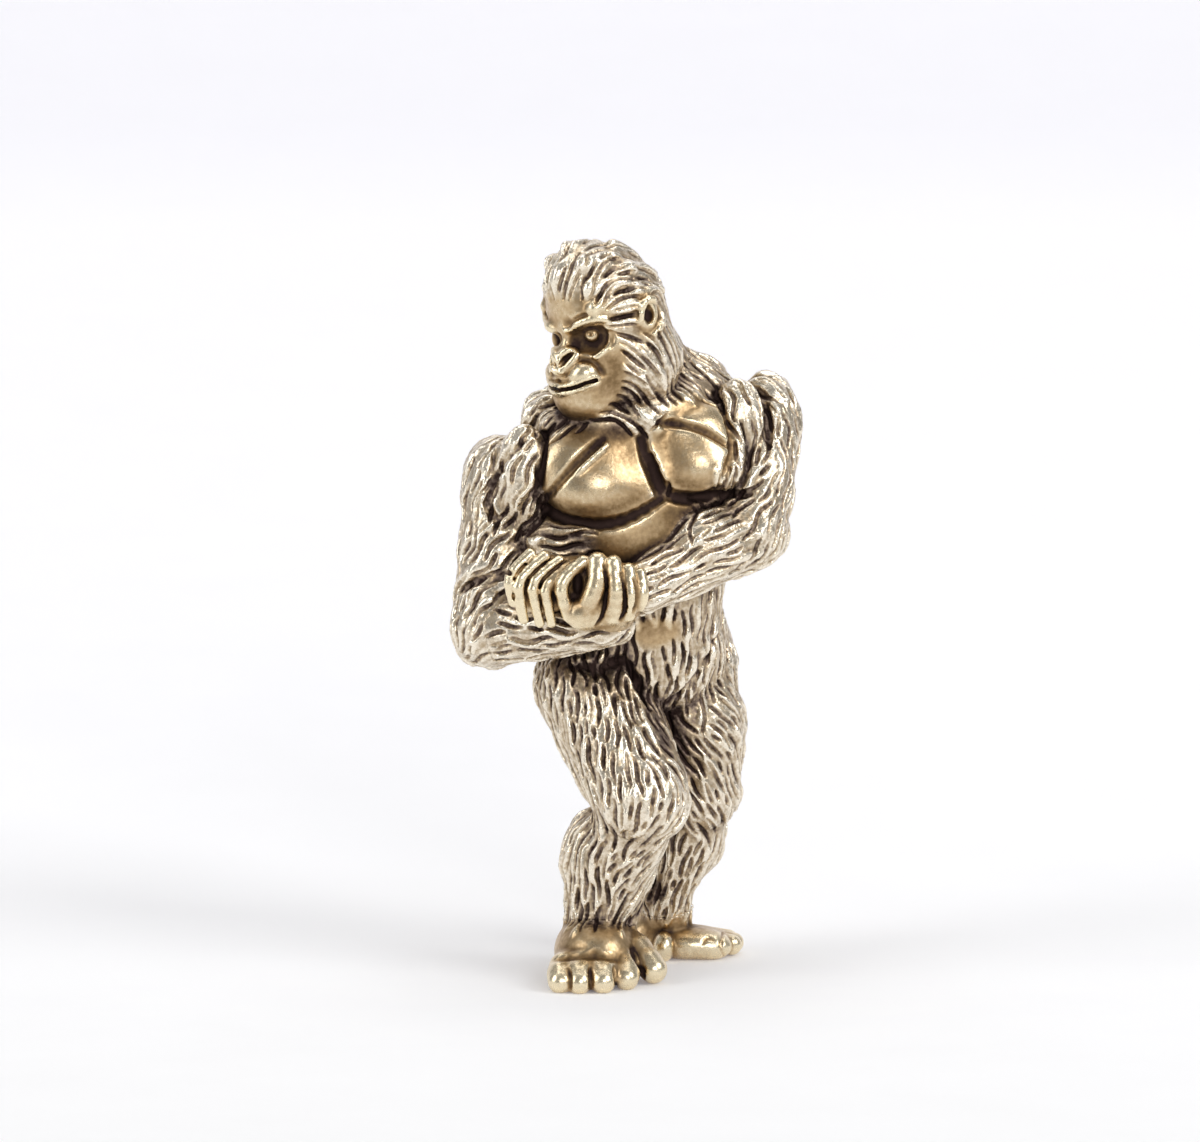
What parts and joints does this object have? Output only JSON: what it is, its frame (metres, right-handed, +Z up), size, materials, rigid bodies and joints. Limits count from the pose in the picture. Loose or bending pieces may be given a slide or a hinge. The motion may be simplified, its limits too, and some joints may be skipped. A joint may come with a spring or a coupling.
{
  "type": "gorilla figurine",
  "caption": "Standing brass gorilla ornament with folded arms and its head turned aside, built from cast pieces that locate on pegs in sockets.",
  "frame": {"origin": "on the floor under the middle of the figure's box", "axes": "+Z up, -Y towards the side that shows the chest, +X towards the animal's left arm"},
  "size_m": [0.0308, 0.0248, 0.0652],
  "materials": {
    "antique_brass": "antiqued cast brass, dark patina in the recesses and rubbed bright on the high points"
  },
  "bodies": {
    "root": {"torso": "antique_brass", "head": "antique_brass", "right_upper_arm": "antique_brass", "left_upper_arm": "antique_brass", "right_forearm": "antique_brass", "left_forearm": "antique_brass", "left_hand": "antique_brass", "right_hand": "antique_brass", "right_thigh": "antique_brass", "left_thigh": "antique_brass", "right_shin": "antique_brass", "left_shin": "antique_brass", "right_foot": "antique_brass", "left_foot": "antique_brass"}
  },
  "joints": []
}
